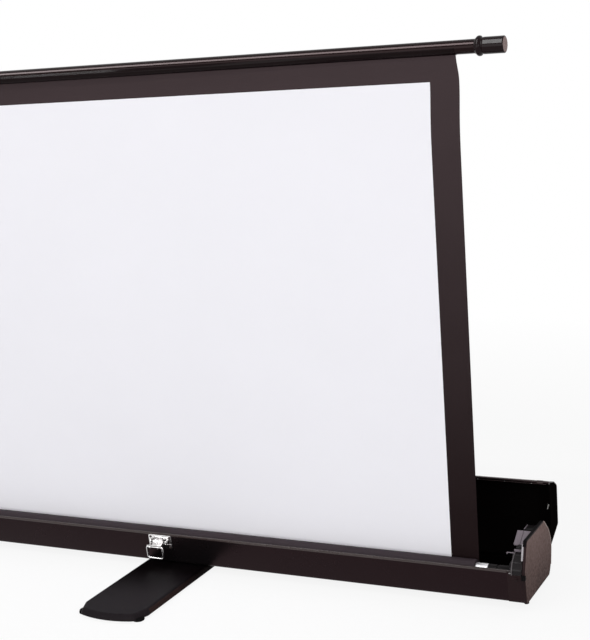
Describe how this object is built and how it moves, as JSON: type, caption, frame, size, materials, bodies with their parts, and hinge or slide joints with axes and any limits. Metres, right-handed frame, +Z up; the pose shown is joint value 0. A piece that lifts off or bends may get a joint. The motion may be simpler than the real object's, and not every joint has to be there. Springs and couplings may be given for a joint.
{
  "type": "floor-rising projection screen",
  "caption": "Portable projection screen that rises from a long floor case on folding arms, with a hinged lid, spring roller, draw latch and swivel foot.",
  "frame": {"origin": "on the floor under the foot's pivot, in the middle of the case", "axes": "+X along the case to the right of a viewer facing the screen, +Y to the back, +Z up"},
  "size_m": [1.54, 0.6998, 1.0708],
  "materials": {
    "case_paint": "dark satin coat",
    "cap_plastic": "matte",
    "foot_paint": "satin black",
    "rubber": "matte",
    "steel": "zinc plated",
    "chrome": "bright",
    "bare_aluminium": "satin",
    "black_plastic": "moulded",
    "fabric_back": "matte black backing",
    "fabric_face": "matte white with black borders",
    "bar_enamel": "gloss black",
    "arm_paint": "satin black"
  },
  "bodies": {
    "case": {"case_trough": "case_paint", "left_end_cap": "cap_plastic", "right_end_cap": "cap_plastic", "cap_screws": "steel", "case_pads": "rubber", "hinge_case_leaves": "steel", "hinge_pins": "steel", "foot_washer": "steel", "foot_pivot_bolt": "steel", "foot_pivot_nut": "steel", "left_roller_bracket": "black_plastic", "right_roller_bracket": "black_plastic", "spring_spindle": "steel", "left_bar_rest": "black_plastic", "right_bar_rest": "black_plastic", "left_rest_block": "bare_aluminium", "right_rest_block": "bare_aluminium", "screen_fabric": "fabric_face", "arm_base_bracket": "arm_paint", "base_pins": "steel", "latch_plate": "chrome", "latch_screws": "chrome", "latch_pin": "chrome"},
    "lid": {"lid_panel": "case_paint", "left_lid_end": "case_paint", "right_lid_end": "case_paint", "lid_screws": "steel", "lid_catch": "chrome", "hinge_lid_leaves": "steel"},
    "foot": {"foot_plate": "foot_paint", "foot_pads": "rubber"},
    "roller": {"roller_tube": "bare_aluminium", "wound_fabric": "fabric_back", "left_roller_plug": "black_plastic", "right_roller_plug": "black_plastic", "roller_spring": "steel"},
    "left_lower": {"left_lower_arm": "arm_paint", "left_knee_pin": "steel"},
    "left_upper": {"left_upper_arm": "arm_paint"},
    "bar": {"top_bar": "bar_enamel", "left_bar_grip": "black_plastic", "right_bar_grip": "black_plastic", "bar_yoke": "arm_paint", "yoke_pins": "steel"},
    "right_lower": {"right_lower_arm": "arm_paint", "right_knee_pin": "steel"},
    "right_upper": {"right_upper_arm": "arm_paint"},
    "lever": {"latch_lever": "chrome"},
    "bail": {"latch_bail": "chrome"}
  },
  "joints": [
    {"name": "screen_raise", "type": "hinge", "parent": "case", "child": "left_lower", "pos_m": [-0.03, -0.0105, 0.048], "axis": [0, -1, 0], "range_deg": [0, 57.94], "deforming": ["screen_fabric"]},
    {"name": "left_knee", "type": "hinge", "parent": "left_lower", "child": "left_upper", "pos_m": [-0.31407, -0.002, 0.53025], "axis": [0, 1, 0], "range_deg": [0, 116.08]},
    {"name": "bar_pivot", "type": "hinge", "parent": "left_upper", "child": "bar", "pos_m": [-0.03, -0.002, 1.0125], "axis": [0, -1, 0], "range_deg": [0, 58.04]},
    {"name": "right_arm", "type": "hinge", "parent": "case", "child": "right_lower", "pos_m": [0.03, -0.0105, 0.048], "axis": [0, 1, 0], "range_deg": [0, 58.04]},
    {"name": "right_knee", "type": "hinge", "parent": "right_lower", "child": "right_upper", "pos_m": [0.31407, -0.002, 0.53025], "axis": [0, -1, 0], "range_deg": [0, 116.08]},
    {"name": "roller_spin", "type": "hinge", "parent": "case", "child": "roller", "pos_m": [0, -0.053, 0.07], "axis": [-1, 0, 0], "range_deg": [0, 3248.4]},
    {"name": "lid_hinge", "type": "hinge", "parent": "case", "child": "lid", "pos_m": [0, 0.09, 0.048], "axis": [1, 0, 0], "range_deg": [0, 48]},
    {"name": "foot_swivel", "type": "hinge", "parent": "case", "child": "foot", "pos_m": [0, 0, 0.016], "axis": [0, 0, 1], "range_deg": [0, 90]},
    {"name": "latch_lever", "type": "hinge", "parent": "case", "child": "lever", "pos_m": [-0.029, -0.08465, 0.06581], "axis": [1, 0, 0], "range_deg": [-90, 20]},
    {"name": "latch_bail", "type": "hinge", "parent": "lever", "child": "bail", "pos_m": [-0.029, -0.10411, 0.0602], "axis": [1, 0, 0], "range_deg": [-100, 20]}
  ],
  "couplings": [
    {"joint": "left_knee", "follows": "screen_raise", "ratio": 2},
    {"joint": "bar_pivot", "follows": "screen_raise", "ratio": 1},
    {"joint": "right_arm", "follows": "screen_raise", "ratio": 1},
    {"joint": "right_knee", "follows": "screen_raise", "ratio": 2},
    {"joint": "roller_spin", "follows": "screen_raise", "ratio": 55.978}
  ]
}
